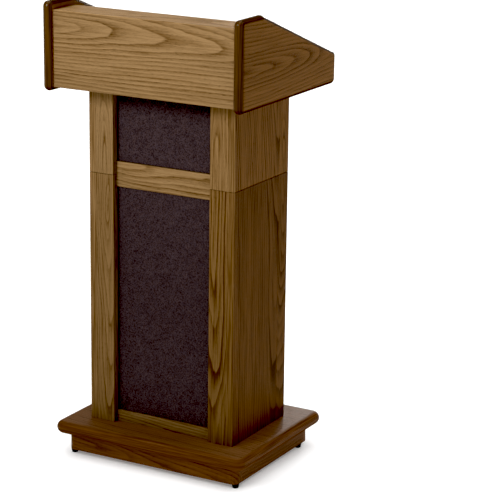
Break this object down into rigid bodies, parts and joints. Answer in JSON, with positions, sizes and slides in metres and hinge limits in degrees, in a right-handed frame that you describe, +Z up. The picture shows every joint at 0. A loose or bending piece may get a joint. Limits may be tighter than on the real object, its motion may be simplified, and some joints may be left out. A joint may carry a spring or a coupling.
{
  "type": "presentation lectern",
  "caption": "Two-piece floor lectern: a lift-off head with a sloped reading board between shaped cheeks, on a cloth-fronted column with slab and plinth.",
  "frame": {"origin": "on the floor, under the centre of the head's outline seen from above", "axes": "+Z up, -Y towards the audience, +X to the right as the audience sees it"},
  "size_m": [0.57, 0.488, 1.194],
  "materials": {
    "walnut_panel": "satin lacquer over walnut stain",
    "walnut_edge": "satin lacquer over dark walnut stain",
    "walnut_base": "satin lacquer over walnut stain",
    "plywood": "unfinished",
    "grille_cloth": "open plain weave, stretched",
    "zinc_steel": "zinc plated",
    "black_steel": "satin black",
    "cone_paper": "felted paper",
    "nickel": "bright nickel",
    "black_rubber": "matt"
  },
  "bodies": {
    "base": {"foot_bumpers": "black_rubber", "foot_screws": "zinc_steel", "plinth_front": "walnut_base", "plinth_back": "walnut_base", "plinth_left": "walnut_base", "plinth_right": "walnut_base", "plinth_blocks": "plywood", "base_slab": "walnut_base", "slab_screws": "zinc_steel", "floor_cleats": "plywood", "cleat_screws": "zinc_steel", "lower_side_left": "walnut_panel", "lower_side_right": "walnut_panel", "lower_strip_left": "walnut_panel", "lower_strip_right": "walnut_panel", "lower_stile_left": "walnut_panel", "lower_stile_right": "walnut_panel", "mid_rail": "walnut_panel", "bottom_rail": "walnut_panel", "rail_dowels": "plywood", "lower_grille_panel": "plywood", "lower_grille_cloth": "grille_cloth", "lower_grille_spacers": "plywood", "lower_front_panel": "plywood", "base_top": "walnut_panel", "back_toe_rail": "walnut_panel", "locating_dowels": "zinc_steel", "shelf_pins": "zinc_steel"},
    "head": {"neck_side_left": "walnut_panel", "neck_side_right": "walnut_panel", "neck_strip_left": "walnut_panel", "neck_strip_right": "walnut_panel", "neck_stile_left": "walnut_panel", "neck_stile_right": "walnut_panel", "neck_floor": "walnut_panel", "upper_grille_panel": "plywood", "upper_grille_cloth": "grille_cloth", "upper_grille_spacers": "plywood", "speaker_baffle": "plywood", "speaker_baskets": "black_steel", "speaker_cones": "cone_paper", "speaker_magnets": "zinc_steel", "speaker_screws": "black_steel", "speaker_box_back": "plywood", "input_plate": "black_steel", "input_socket": "nickel", "input_plate_screws": "black_steel", "head_floor": "walnut_panel", "neck_screws": "zinc_steel", "cheek_left": "walnut_edge", "cheek_right": "walnut_edge", "apron": "walnut_panel", "apron_blocks": "plywood", "head_top": "walnut_panel", "reading_board": "walnut_panel", "head_back_rail": "walnut_panel", "book_stop": "walnut_edge"},
    "shelf": {"shelf": "walnut_panel"}
  },
  "joints": [
    {"name": "head_lift", "type": "slide", "parent": "base", "child": "head", "axis": [0, 0, 1], "range_m": [0, 0.2]},
    {"name": "shelf_slide", "type": "slide", "parent": "base", "child": "shelf", "axis": [0, 1, 0], "range_m": [0, 0.2]}
  ]
}
